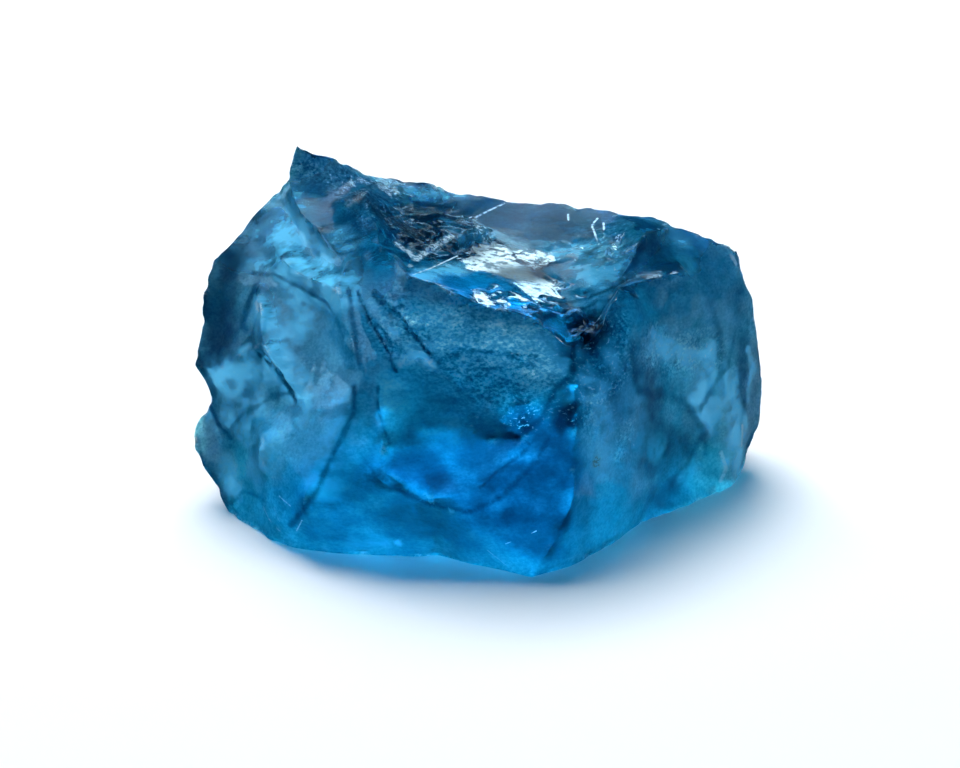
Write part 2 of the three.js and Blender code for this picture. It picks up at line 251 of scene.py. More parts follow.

# Painted light, clearing the crystal's colour where more light glows through: side, spots, radius in mm, how
# clear
PAINTED_LIGHT = {
    "left_low": (front, [(0.04, 0.21), (0.09, 0.18), (0.08, 0.13)], 1.3, 0.5),
    "scar_bright": (front, [(0.35, 0.48), (0.34, 0.40)], 1.0, 0.8),
    "groove_glint": (front, [(0.68, 0.45)], 0.6, 0.8),
    "groove_glow": (front, [(0.63, 0.31)], 0.9, 0.5),
    "jowl_glow": (front, [(0.15, 0.28)], 2.0, 0.6),
    "brow_clear": (front, [(0.42, 0.66), (0.50, 0.62), (0.60, 0.57)], 2.3, 1.0),
    "brow_left": (front, [(0.36, 0.66), (0.36, 0.55), (0.36, 0.47), (0.40, 0.39)], 1.6, 0.8),
    "left_foot": (front, [(0.15, 0.10), (0.20, 0.08)], 1.2, 0.6),
    "right_strip": (front, [(0.68, 0.36), (0.70, 0.25), (0.71, 0.15)], 1.4, 0.5),
    "bowl_clear": (top, [(0.42, 0.35), (0.49, 0.44)], 0.7, 0.9),
    "right_glow": (front, [(0.86, 0.43)], 1.6, 0.7),
    "right_low_glow": (front, [(0.86, 0.08)], 1.3, 0.1),
}

# Dark seams where two breaks meet: side, spots, half width in mm, how dark
SEAMS = {
    "wedge_edge": (front, [(0.29, 0.48), (0.29, 0.42), (0.27, 0.35), (0.25, 0.29), (0.23, 0.21),
                           (0.20, 0.13), (0.18, 0.07)], 0.30, 0.75),
    "scar_edge": (front, [(0.33, 0.49), (0.33, 0.44), (0.34, 0.39), (0.35, 0.35)], 0.16, 0.7),
    "low_arc": (front, [(0.35, 0.24), (0.39, 0.21), (0.43, 0.19), (0.48, 0.18), (0.53, 0.22)], 0.24, 0.7),
    "right_arc": (front, [(0.53, 0.22), (0.58, 0.30), (0.61, 0.37)], 0.24, 0.6),
    "cheek_crack": (front, [(0.12, 0.48), (0.15, 0.45), (0.17, 0.42), (0.19, 0.39)], 0.18, 0.85),
    "brow_crack_a": (front, [(0.32, 0.71), (0.35, 0.67)], 0.14, 0.8),
    "brow_crack_b": (front, [(0.37, 0.65), (0.40, 0.61), (0.43, 0.56)], 0.14, 0.8),
    "brow_crack_c": (front, [(0.31, 0.66), (0.34, 0.60), (0.36, 0.53)], 0.16, 0.8),
    "cheek_edge": (front, [(0.28, 0.71), (0.29, 0.62), (0.30, 0.53)], 0.26, 0.6),
    "brow_edge": (front, [(0.65, 0.61), (0.65, 0.53), (0.62, 0.49), (0.60, 0.42),
                          (0.56, 0.37)], 0.30, 0.7),
    "right_column": (front, [(0.87, 0.67), (0.91, 0.48), (0.92, 0.27)], 0.4, 0.35),
    "cheek_arc": (front, [(0.11, 0.66), (0.15, 0.68), (0.20, 0.67), (0.24, 0.66), (0.26, 0.63),
                          (0.27, 0.59)], 0.2, 0.5),
    "notch_crack": (front, [(0.03, 0.27), (0.05, 0.23), (0.07, 0.21)], 0.25, 0.7),
    "left_foot_crack": (front, [(0.07, 0.03), (0.09, 0.08), (0.13, 0.10)], 0.2, 0.6),
    "jaw_crack": (front, [(0.18, 0.41), (0.13, 0.35), (0.09, 0.29), (0.07, 0.24)], 0.25, 0.5),
    "right_stripe": (front, [(0.75, 0.56), (0.76, 0.43), (0.80, 0.36)], 0.5, 0.5),
    "right_bend": (front, [(0.80, 0.38), (0.85, 0.30), (0.89, 0.18), (0.89, 0.12)], 0.4, 0.5),
    "right_flake": (front, [(0.94, 0.45), (0.93, 0.36), (0.91, 0.33), (0.88, 0.26)], 0.3, 0.5),
    "right_foot_line": (front, [(0.88, 0.17), (0.86, 0.12), (0.83, 0.08)], 0.35, 0.5),
    "brow_line": (front, [(0.43, 0.56), (0.47, 0.59), (0.51, 0.58), (0.55, 0.57),
                          (0.58, 0.54)], 0.3, 0.55),
    "scar_line": (front, [(0.54, 0.50), (0.56, 0.45), (0.57, 0.40)], 0.25, 0.4),
    "ripple_a": (top, [(0.57, 0.26), (0.63, 0.36), (0.69, 0.39), (0.72, 0.40)], 0.16, 0.6),
    "ripple_b": (top, [(0.60, 0.23), (0.64, 0.33), (0.69, 0.37)], 0.16, 0.6),
    "back_crack_a": (behind, [(0.30, 0.62), (0.34, 0.50), (0.40, 0.42)], 0.16, 0.6),
    "back_crack_b": (behind, [(0.62, 0.55), (0.58, 0.45), (0.60, 0.36)], 0.18, 0.55),
    "back_crack_c": (behind, [(0.44, 0.30), (0.52, 0.24), (0.61, 0.22)], 0.22, 0.5),
}

# Splinters: side, spots, width in mm, depth in mm (on the other side of the line if minus)
SPLINTERS = {
    "splinter_a": (front, [(0.29, 0.72), (0.31, 0.66), (0.34, 0.60)], 0.5, 0.20),
    "splinter_b": (front, [(0.32, 0.72), (0.35, 0.69)], 0.4, 0.15),
    "splinter_c": (front, [(0.33, 0.70), (0.36, 0.68), (0.42, 0.57)], 0.7, 0.30),
    "splinter_d": (front, [(0.32, 0.66), (0.36, 0.58), (0.37, 0.55)], 0.5, 0.22),
    "splinter_e": (front, [(0.30, 0.67), (0.32, 0.63), (0.36, 0.56)], 0.6, 0.25),
    "splinter_f": (front, [(0.40, 0.65), (0.42, 0.61)], 0.4, 0.16),
    "splinter_g": (front, [(0.34, 0.62), (0.38, 0.57)], 0.35, 0.16),
    "splinter_h": (front, [(0.54, 0.58), (0.61, 0.56)], 0.35, 0.14),
    "scar_rim_left": (front, [(0.30, 0.32), (0.33, 0.27), (0.37, 0.23), (0.41, 0.20),
                              (0.46, 0.20)], 0.5, -0.03),
    "scar_rim_right": (front, [(0.48, 0.22), (0.51, 0.27), (0.56, 0.33), (0.60, 0.39)], 0.5, -0.06),
    "crack_step": (front, [(0.12, 0.50), (0.16, 0.45), (0.19, 0.40)], 0.6, 0.2),
    "back_splinter_a": (behind, [(0.52, 0.60), (0.55, 0.52), (0.60, 0.47)], 0.5, 0.2),
    "back_splinter_b": (behind, [(0.36, 0.30), (0.42, 0.24), (0.50, 0.22)], 0.5, 0.18),
    "back_splinter_c": (behind, [(0.24, 0.48), (0.27, 0.40), (0.33, 0.35)], 0.45, 0.18),
}

# Thin bright crushed marks and scratches, drawn in the same white as the painted glints: side, spots, half
# width in mm, how white
SCRATCHES = {
    "rim_upper": (top, [(0.38, 0.28), (0.43, 0.41), (0.46, 0.49)], 0.08, 0.7),
    "rim_lower": (top, [(0.39, 0.28), (0.43, 0.27), (0.47, 0.27)], 0.08, 0.45),
    "tick_short": (top, [(0.36, 0.44), (0.38, 0.43), (0.39, 0.40)], 0.42, 0.42),
    "tick_long": (top, [(0.39, 0.40), (0.42, 0.50), (0.45, 0.58)], 0.36, 0.45),
    "arc": (top, [(0.48, 0.71), (0.49, 0.71), (0.54, 0.77)], 0.10, 0.7),
    "fleck_a": (top, [(0.70, 0.68), (0.69, 0.66), (0.70, 0.58)], 0.10, 0.9),
    "fleck_b": (top, [(0.71, 0.66), (0.71, 0.63)], 0.10, 0.9),
    "fleck_c": (top, [(0.65, 0.71), (0.65, 0.69)], 0.10, 0.8),
    "scratch_a": (front, [(0.13, 0.08), (0.14, 0.06), (0.16, 0.04)], 0.06, 0.6),
    "scratch_b": (front, [(0.16, 0.14), (0.18, 0.13)], 0.06, 0.6),
    "scratch_c": (front, [(0.15, 0.10), (0.16, 0.07)], 0.05, 0.4),
    "scratch_d": (front, [(0.20, 0.10), (0.19, 0.06)], 0.06, 0.5),
    "low_line_a": (front, [(0.54, 0.09), (0.59, 0.13)], 0.05, 0.3),
    "low_line_b": (front, [(0.51, 0.06), (0.54, 0.02)], 0.05, 0.3),
    "right_edge_a": (front, [(0.93, 0.68), (0.94, 0.65)], 0.16, 0.9),
    "right_edge_b": (front, [(0.96, 0.16), (0.96, 0.10)], 0.14, 0.7),
    "right_edge_c": (front, [(0.92, 0.11), (0.93, 0.06), (0.92, 0.03)], 0.22, 0.45),
}

# Painted sheen and glints, as milky blue patches just under the surface: side, spots, radius in mm, how
# milky
PAINTED_SHEEN_PATCHES = {
    "neck_band": (front, [(0.16, 0.78), (0.19, 0.74)], 1.8, 0.85),
    "left_band": (top, [(0.18, 0.53), (0.21, 0.46), (0.23, 0.39), (0.26, 0.33)], 1.8, 0.8),
    "left_hook": (front, [(0.11, 0.69), (0.14, 0.69)], 0.7, 0.4),
    "cheek": (front, [(0.13, 0.59), (0.15, 0.53), (0.17, 0.45), (0.20, 0.40)], 1.3, 0.75),
    "cheek_low": (front, [(0.05, 0.35), (0.09, 0.39), (0.13, 0.43)], 1.5, 0.85),
    "jowl": (front, [(0.13, 0.28), (0.15, 0.25), (0.12, 0.19)], 1.6, 0.35),
    "grey_band": (front, [(0.25, 0.57), (0.27, 0.48), (0.26, 0.37), (0.24, 0.26)], 1.6, 0.2),
    "notch": (front, [(0.03, 0.25), (0.04, 0.23)], 0.6, 0.45),
    "bowl_triangle": (top, [(0.40, 0.30), (0.44, 0.38), (0.47, 0.45)], 0.9, 0.4),
    "bowl_streak": (top, [(0.44, 0.66), (0.45, 0.61), (0.47, 0.56)], 0.5, 0.20),
    "bowl_tail": (top, [(0.47, 0.56), (0.50, 0.61), (0.52, 0.67)], 0.6, 0.12),
    "bowl_end": (top, [(0.63, 0.58), (0.69, 0.58), (0.73, 0.50)], 0.9, 0.4),
    "brow_glint": (front, [(0.38, 0.58), (0.40, 0.58), (0.42, 0.56)], 0.4, 0.6),
    "splinter_glint": (front, [(0.34, 0.66), (0.36, 0.63)], 0.35, 0.5),
    "scar_left": (front, [(0.35, 0.49), (0.34, 0.42)], 0.9, 0.1),
    "base_glint": (front, [(0.36, 0.05)], 0.25, 0.5),
    "base_haze": (front, [(0.28, 0.04), (0.34, 0.05)], 0.5, 0.12),
    "low_glint_left": (front, [(0.45, 0.18)], 0.18, 0.2),
    "groove_haze": (front, [(0.68, 0.45), (0.71, 0.35)], 1.1, 0.3),
    "groove_low": (front, [(0.71, 0.35), (0.70, 0.25)], 1.0, 0.2),
    "right_patch": (front, [(0.79, 0.52), (0.86, 0.42), (0.90, 0.43)], 0.9, 0.45),
    "right_spot": (front, [(0.92, 0.34), (0.92, 0.28)], 0.8, 0.55),
    "right_edge": (front, [(0.94, 0.30), (0.95, 0.19), (0.95, 0.10), (0.96, 0.03)], 0.9, 0.8),
    "right_low": (front, [(0.86, 0.08)], 0.9, 0.10),
    "bevel": (top, [(0.27, 0.75), (0.31, 0.77), (0.36, 0.77), (0.40, 0.75), (0.44, 0.77),
                    (0.47, 0.78)], 0.5, 0.28),
    "right_crest": (top, [(0.83, 0.61), (0.84, 0.60)], 0.7, 0.35),
    "groove_light": (front, [(0.67, 0.51), (0.70, 0.47)], 0.8, 0.3),
    "blade": (front, [(0.16, 0.72), (0.13, 0.75)], 1.2, 0.3),
    "right_light_a": (front, [(0.93, 0.26), (0.94, 0.16), (0.93, 0.08)], 0.45, 0.5),
    "right_light_b": (front, [(0.95, 0.24), (0.97, 0.14), (0.96, 0.07)], 0.4, 0.6),
    "right_light_c": (front, [(0.79, 0.55), (0.82, 0.48), (0.86, 0.41)], 0.5, 0.45),
    "right_rim": (front, [(0.97, 0.38), (0.98, 0.30), (0.97, 0.23)], 0.4, 0.6),
    "back_cheek": (behind, [(0.24, 0.42), (0.30, 0.34)], 1.4, 0.35),
    "back_pane": (behind, [(0.62, 0.62), (0.70, 0.54)], 1.5, 0.3),
    "back_foot": (behind, [(0.48, 0.16), (0.56, 0.12)], 1.2, 0.3),
    "jaw_low": (front, [(0.06, 0.13), (0.07, 0.08)], 1.0, 0.55),
    "wedge_pale": (front, [(0.28, 0.46), (0.26, 0.38), (0.24, 0.30)], 0.5, 0.3),
    "cheek_top": (front, [(0.17, 0.69), (0.20, 0.64), (0.20, 0.60)], 1.3, 0.75),
    "cheek_side": (front, [(0.10, 0.40), (0.11, 0.33), (0.10, 0.27)], 1.3, 0.6),
    "cheek_rim": (front, [(0.06, 0.30), (0.06, 0.34), (0.11, 0.43)], 1.0, 0.5),
    "cheek_high": (front, [(0.17, 0.58), (0.20, 0.60), (0.20, 0.56)], 0.9, 0.5),
    "neck_low": (top, [(0.26, 0.47), (0.28, 0.42), (0.28, 0.38)], 0.9, 0.3),
    "neck_high": (top, [(0.15, 0.66), (0.19, 0.59)], 1.0, 0.3),
    "jaw": (front, [(0.06, 0.27), (0.10, 0.26)], 0.9, 0.6),
    "brow_start": (front, [(0.32, 0.69), (0.36, 0.66)], 0.9, 0.25),
    "bowl_right": (top, [(0.65, 0.49), (0.69, 0.45), (0.72, 0.44), (0.75, 0.45)], 1.3, 0.34),
    "bowl_low": (top, [(0.68, 0.37), (0.70, 0.41)], 0.9, 0.3),
    "right_hand": (front, [(0.89, 0.41), (0.89, 0.36), (0.88, 0.30), (0.90, 0.21)], 1.1, 0.7),
    "right_lower": (front, [(0.76, 0.41), (0.77, 0.27), (0.80, 0.21)], 1.0, 0.16),
    "right_start": (front, [(0.71, 0.57), (0.72, 0.51)], 0.8, 0.22),
    "right_upper": (front, [(0.87, 0.60), (0.91, 0.48), (0.85, 0.52)], 2.0, 0.14),
    "right_middle": (front, [(0.74, 0.41), (0.75, 0.29)], 1.4, 0.16),
    "brow_light": (front, [(0.40, 0.63), (0.50, 0.61), (0.60, 0.59), (0.62, 0.55)], 1.7, 0.26),
}

# Greenish brown stain just under the surface: side, spot, radius in mm
STAIN = (front, (0.69, 0.28), 0.6)

# Finely pitted stretches: side, spots, radius in mm, how pitted
PITTED = {
    "brow": (front, [(0.36, 0.66), (0.48, 0.62), (0.60, 0.56)], 2.6, 1.0),
    "brow_low": (front, [(0.46, 0.55), (0.54, 0.48)], 2.2, 1.0),
    "bowl_left": (top, [(0.33, 0.62), (0.36, 0.52)], 1.7, 1.0),
    "bowl_right": (top, [(0.70, 0.60), (0.72, 0.45)], 2.2, 1.0),
    "horn": (front, [(0.20, 0.93), (0.25, 0.89), (0.32, 0.86)], 1.1, 1.0),
    "crest": (top, [(0.28, 0.73), (0.33, 0.74)], 1.1, 1.0),
    "right_patch": (front, [(0.79, 0.52), (0.85, 0.44), (0.90, 0.42)], 1.6, 1.0),
    "right_front": (front, [(0.68, 0.44), (0.72, 0.58)], 2.0, 1.0),
    "right_low": (front, [(0.74, 0.30)], 1.4, 1.0),
    "back_brow": (behind, [(0.35, 0.55), (0.45, 0.50)], 2.2, 1.0),
    "back_foot": (behind, [(0.66, 0.20), (0.72, 0.30)], 1.8, 1.0),
}

# Flat chips in the bowl: side, spots, radius in mm, the direction they mirror at the camera, how speckled
CHIPS = {
    "window_left": (top, [(0.38, 0.56), (0.43, 0.55)], 2.1, (18.0, 14.0), 0.0),
    "window": (top, [(0.41, 0.67), (0.44, 0.64)], 2.7, (7.0, 20.0), 0.0),
    "upper_streak": (top, [(0.49, 0.46), (0.53, 0.51)], 1.25, BACK_LIGHT, 0.455),
    "upper_flecks": (top, [(0.49, 0.55), (0.53, 0.57)], 0.45, BACK_LIGHT, 0.50),
    "upper_tail": (top, [(0.58, 0.54), (0.61, 0.56), (0.67, 0.57), (0.72, 0.54)], 0.95, BACK_LIGHT, 0.475),
    "end_tail": (top, [(0.73, 0.51), (0.77, 0.49)], 0.75, BACK_LIGHT, 0.47),
    "lower_streak": (top, [(0.51, 0.26), (0.53, 0.28), (0.57, 0.35), (0.61, 0.40)], 1.35, BACK_LIGHT, 0.38),
    "lower_start": (top, [(0.54, 0.28), (0.56, 0.32)], 0.8, BACK_LIGHT, 0.40),
    "corner": (top, [(0.60, 0.24), (0.64, 0.27), (0.67, 0.31)], 1.0, (40.0, 4.0), 0.0),
    "low_fleck": (top, [(0.66, 0.39), (0.67, 0.39)], 0.25, BACK_LIGHT, 0.30),
}


# ---------- the fine mesh ----------

def ridge_corners(work):
    """Indices of the points of a bmesh that lie on a ridge between two breaks."""
    ridge = [edge for edge in work.edges if edge.calc_face_angle(0.0) > math.radians(RIDGE_ANGLE)]
    return {vert.index for edge in ridge for vert in edge.verts}


def calmed(work, rounds):
    """Takes the CAD's small swells off: a round pulls the points in and pushes them out again.

    Ridges and broad hollows stay.
    """
    held = ridge_corners(work)
    for _ in range(rounds):
        for pull in (0.5, -0.52):
            moves = []
            for vert in work.verts:
                if vert.index in held:
                    continue
                ring = [edge.other_vert(vert).co for edge in vert.link_edges]
                middle = sum(ring, Vector()) / len(ring)
                moves.append((vert, (middle - vert.co) * pull))
            for vert, move in moves:
                vert.co += move


def refined_copy(node, name):
    """A finer mesh over a CAD node, with its ridges kept sharp."""
    mesh = node.data.copy()
    work = bmesh.new()
    work.from_mesh(mesh)
    bmesh.ops.remove_doubles(work, verts=work.verts, dist=0.002 * MM)
    work.verts.index_update()
    calmed(work, CALMING_ROUNDS)
    crease = work.edges.layers.float.get("crease_edge") or work.edges.layers.float.new("crease_edge")
    for edge in work.edges:
        angle = edge.calc_face_angle(0.0)
        sharpness = (angle - math.radians(CREASE_ANGLE)) / math.radians(CREASE_SPAN)
        edge[crease] = min(1.0, max(0.0, sharpness))
    work.to_mesh(mesh)
    work.free()
    rough = bpy.data.objects.new(name + "_rough", mesh)
    bpy.context.scene.collection.objects.link(rough)
    subdivide = rough.modifiers.new("finer", "SUBSURF")
    subdivide.levels = FINER_LEVELS
    subdivide.render_levels = FINER_LEVELS
    depsgraph = bpy.context.evaluated_depsgraph_get()
    fine = bpy.data.meshes.new_from_object(rough.evaluated_get(depsgraph))
    bpy.data.objects.remove(rough)
    fine.name = name
    piece = bpy.data.objects.new(name, fine)
    bpy.context.scene.collection.objects.link(piece)
    return piece


def tree_of(mesh):
    """For casting lines at a mesh, in mm."""
    corners = [vertex.co / MM for vertex in mesh.vertices]
    return BVHTree.FromPolygons(corners, [tuple(face.vertices) for face in mesh.polygons])


def points_of(mesh):
    """The points of a mesh, in mm."""
    flat = np.empty(3 * len(mesh.vertices), dtype=np.float32)
    mesh.vertices.foreach_get("co", flat)
    return flat.reshape(-1, 3).astype(float) / MM


def facings_of(mesh):
    """The way that each point of a mesh faces."""
    flat = np.empty(3 * len(mesh.vertices), dtype=np.float32)
    mesh.vertices.foreach_get("normal", flat)
    return flat.reshape(-1, 3).astype(float)


def put_points(mesh, points):
    """Moves the points of a mesh to places in mm."""
    mesh.vertices.foreach_set("co", (points * MM).astype(np.float32).ravel())
    mesh.update()


def keep_mask(mesh, name, values):
    """Stores one number a point, for the material."""
    layer = mesh.attributes.new(name, "FLOAT", "POINT")
    layer.data.foreach_set("value", values.astype(np.float32))


def stretch_weight(points, facings, tree, side, spots, radius):
    """1 on a stretch of one face of the stone, fading out at a ragged edge."""
    found = [side(tree, *spot) for spot in spots]
    facing = sum(way for _, way in found)
    facing /= np.linalg.norm(facing)
    away = away_from_route(points, [spot for spot, _ in found])
    near = away < 2.3 * radius
    weight = np.zeros(len(points))
    ragged = away[near] + 0.35 * radius * lumps(points[near], 0.9 * radius + 0.3, 2.0)
    ragged += 0.15 * radius * lumps(points[near], 0.35 * radius + 0.1, 12.0)
    same_face = 1.0 - falloff(facings[near] @ facing, 0.15, 0.6)
    weight[near] = falloff(ragged, 0.15 * radius, 1.55 * radius) * same_face
    return weight


def pressed(points, tree):
    """Presses the flat chips into the bowl. Also gives how speckled they are, and where they shine."""
    speckle = np.zeros(len(points))
    chipped = np.zeros(len(points))
    for side, spots, radius, mirrored, speckled in CHIPS.values():
        facing = mirror_facing(mirrored)
        route = [side(tree, *spot)[0] for spot in spots]
        part, _, off = along_route(points, route, facing)
        near = off < 2.5 * radius
        ragged = off[near] + 0.35 * radius * lumps(points[near], 0.6, 11.0)
        weight = np.zeros(len(points))
        weight[near] = falloff(ragged, 0.75 * radius, 1.1 * radius)
        stations = np.linspace(0.0, 1.0, len(route))
        part = np.clip(part, 0.0, 1.0)
        nearest = np.column_stack([np.interp(part, stations, [spot[k] for spot in route]) for k in range(3)])
        height = np.clip((points - nearest) @ facing, -PRESS_LIMIT, PRESS_LIMIT)
        points = points - facing * (height * weight)[:, None]
        speckle = np.maximum(speckle, speckled * (weight > 0.0))
        polished = falloff(off, 1.1 * radius, 1.25 * radius) * (mirrored == BACK_LIGHT)
        chipped = np.maximum(chipped, polished)
    return points, speckle, chipped


def far_from_ridges(mesh, points):
    """The distance of every point from the nearest ridge."""
    work = bmesh.new()
    work.from_mesh(mesh)
    ridge = [vert.index for vert in work.verts
             if any(edge.calc_face_angle(0.0) > math.radians(SHARP_ANGLE) for edge in vert.link_edges)]
    work.free()
    near = KDTree(len(ridge))
    for index in ridge:
        near.insert(points[index], index)
    near.balance()
    return np.array([near.find(point)[2] for point in points])


def splinters(points, tree):
    """Heights of the splinters, and how much their steep sides shade the crystal."""
    height = np.zeros(len(points))
    shadow = np.zeros(len(points))
    for side, spots, width, depth in SPLINTERS.values():
        found = [side(tree, *spot) for spot in spots]
        facing = sum(way for _, way in found)
        facing /= np.linalg.norm(facing)
        part, right, off = along_route(points, [spot for spot, _ in found], facing)
        near = off < 2.0 * width
        right = right * np.sign(depth)
        right[near] += 0.2 * width * lumps(points[near], 1.2, 4.0)
        profile = np.where(right > 0.0, 1.0 - right / width, 1.0 + right / (0.25 * width))
        profile = np.clip(profile, 0.0, 1.0) * falloff(np.abs(part - 0.5), 0.25, 0.52) * near
        height = np.minimum(height, -abs(depth) * profile)
        line = falloff(np.abs(right + 0.05 * width), 0.08 * width, 0.35 * width)
        shadow = np.maximum(shadow, line * near * falloff(np.abs(part - 0.5), 0.3, 0.52))
    return height, shadow


def relieved(points, facings, pitted, ridge_distance, splinter_height):
    """Moves the points in and out: swells, hackles, pits, chipped ridges and splinters."""
    upward = 1.0 - falloff(facings[:, 2], 0.5, 0.8)
    height = HACKLE_HEIGHT * (1.0 - 0.75 * upward) * lumps(points, 1.5, 3.0, (1.0, 1.0, 1.6))
    height += 0.5 * HACKLE_HEIGHT * (1.0 - 0.7 * upward) * lumps(points, 0.75, 5.0)
    height += PIT_HEIGHT * pitted * lumps(points, 0.5, 6.0)
    chips = np.maximum(0.0, lumps(points, 0.9, 7.0))
    height -= CHIP_DEPTH * chips * falloff(ridge_distance, 0.1, 0.6)
    height += splinter_height
    height *= falloff(-facings[:, 2], 0.6, 0.85)
    return points + facings * height[:, None]


def strongest(points, facings, tree, stretches):
    """The strongest of a table's stretches at every point."""
    most = np.zeros(len(points))
    for side, spots, radius, amount in stretches.values():
        most = np.maximum(most, amount * stretch_weight(points, facings, tree, side, spots, radius))
    return most


def seam_weight(points, tree):
    """How dark the seams are at every point, and what they leave of the light together."""
    strongest_seam = np.zeros(len(points))
    left = np.ones(len(points))
    for side, spots, half_width, amount in SEAMS.values():
        away = away_from_route(points, traced(tree, side, spots))
        away += 0.3 * half_width * lumps(points, 0.6, 13.0)
        seam = amount * falloff(away, 0.2 * half_width, 1.3 * half_width)
        strongest_seam = np.maximum(strongest_seam, seam)
        left *= 1.0 - seam
    return strongest_seam, left


def painted_shade_factor(points, facings, tree, splinter_shadow):
    """What the splinters' shadows and the painted shade of the darker stretches leave of the light."""
    left = 1.0 - SPLINTER_SHADE * splinter_shadow
    for side, spots, radius, amount in PAINTED_SHADE.values():
        left *= 1.0 - amount * stretch_weight(points, facings, tree, side, spots, radius)
    return left


def polish(facings, chipped):
    """How polished the breaks are. Those that face up are etched dull, apart from the fresh chips."""
    sloping = 1.0 - falloff(facings[:, 2], 0.4, 0.65)
    level = 1.0 - falloff(facings[:, 2], 0.88, 0.95)
    return 1.0 - (1.0 - chipped) * (0.75 * sloping + 0.25 * level)


def frosted(points, facings):
    """How rough the breaks are: least in the bowl, most at the back and underneath."""
    in_bowl = (1.0 - falloff(facings[:, 2], 0.5, 0.7)) * (1.0 - falloff(points[:, 2], BOWL_LOW, BOWL_HIGH))
    back = (1.0 - falloff(facings[:, 1], -0.05, 0.35)) * (1.0 - in_bowl)
    under = 1.0 - falloff(-facings[:, 2], 0.7, 0.9)
    frost = FRONT_FROST + (BOWL_FROST - FRONT_FROST) * in_bowl
    return np.maximum(frost, BACK_FROST * np.maximum(back, under))


def worn_glinting_ridges(points, ridge_distance):
    """Where the ridges are rubbed white here and there, also standing in for glints along them: painted
    highlight.
    """
    patches = np.clip(2.5 * lumps(points, 1.2, 10.0) - 0.6, 0.0, 1.0)
    return patches * falloff(ridge_distance, 0.05, 0.28)


def stained(points, tree):
    """1 on the stain, fading to 0 round it."""
    side, spot, radius = STAIN
    away = np.linalg.norm(points - side(tree, *spot)[0], axis=1)
    return falloff(away, 0.4 * radius, radius)


def paint(mesh, points, facings, tree, pitted, ridge_distance, splinter_shadow, chipped):
    """Keeps the masks that the crystal's material reads, the painted light, shade, sheen and glints among
    them.
    """
    seam, seam_left = seam_weight(points, tree)
    dark = painted_shade_factor(points, facings, tree, splinter_shadow) * seam_left
    dark_squared = np.clip(dark, 0.0, 1.0) ** 2
    # painted light from the clearer stretches and painted shade from the darker ones, with seams and a
    # random mottle
    clear = CLEARNESS + (1.0 - CLEARNESS) * strongest(points, facings, tree, PAINTED_LIGHT)
    mottle = 1.0 + 0.10 * lumps(points, 3.0, 8.0) + 0.08 * lumps(points, 1.1, 9.0, (1.0, 1.0, 1.7))
    keep_mask(mesh, "tone_with_painted_light_and_shade", clear * dark * mottle)
    # the gloss is dimmed with the painted shade, so the darkened stretches lose their reflections too
    keep_mask(mesh, "gloss", dark_squared * polish(facings, chipped))
    keep_mask(mesh, "pitted", pitted)
    # painted sheen and glints, as milky patches, kept off the seams and splinter shadows
    painted_sheen = strongest(points, facings, tree, PAINTED_SHEEN_PATCHES)
    keep_mask(mesh, "painted_sheen", painted_sheen * (1.0 - np.maximum(splinter_shadow, seam)) ** 2)
    keep_mask(mesh, "stain", stained(points, tree))
    # rubbed white ridges, also painted glints along them, dimmed with the painted shade
    keep_mask(mesh, "worn_glint", dark_squared * worn_glinting_ridges(points, ridge_distance))
    keep_mask(mesh, "frost", frosted(points, facings))


# ---------- materials ----------

def crystal_material(scratches):
    """Clear blue topaz: plain transmission and absorption under a polished skin, with painted light, shade,
    sheen and glints in its base colour.
    """
    material = bpy.data.materials.new("blue_topaz")
    material.use_nodes = True
    tree = material.node_tree
    tree.nodes.clear()
    output = tree.nodes.new("ShaderNodeOutputMaterial")
    shader = tree.nodes.new("ShaderNodeBsdfPrincipled")
    shader.inputs["IOR"].default_value = IOR
    shader.inputs["Specular Tint"].default_value = SPECULAR_TINT
    shader.inputs["Coat Roughness"].default_value = COAT_ROUGHNESS
    shader.inputs["Coat IOR"].default_value = COAT_IOR
    pitted = mask(tree, "pitted")
    coarse = noise_node(tree, 0.42, 40.0, (0.55, 1.0, 1.0))
    fine = noise_node(tree, 0.20, 25.0, (0.7, 1.0, 1.0))
    streaky = noise_node(tree, 1.1, 50.0, (0.35, 1.0, 1.0))
    color, solid = crystal_color(tree, pitted, coarse, fine, streaky, scratches)
    tree.links.new(color, shader.inputs["Base Color"])
    tree.links.new(math_node(tree, "SUBTRACT", 1.0, solid), shader.inputs["Transmission Weight"])
    speckled = math_node(tree, "SUBTRACT", coarse, mask(tree, "speckle"))
    speckled = ramp(tree, speckled, -0.02, 0.03, 0.03, 1.0)
    tree.links.new(math_node(tree, "MULTIPLY", mask(tree, "gloss"), speckled), shader.inputs["Coat Weight"])
    tree.links.new(mask(tree, "frost"), shader.inputs["Roughness"])
    bump = grain_bump(tree, pitted, coarse, fine)
    tree.links.new(bump, shader.inputs["Normal"])
    tree.links.new(bump, shader.inputs["Coat Normal"])
    volume = tree.nodes.new("ShaderNodeVolumeAbsorption")
    volume.inputs["Color"].default_value = ABSORPTION_COLOR
    volume.inputs["Density"].default_value = ABSORPTION_DENSITY
    tree.links.new(shader.outputs["BSDF"], output.inputs["Surface"])
    tree.links.new(volume.outputs["Volume"], output.inputs["Volume"])
    return material


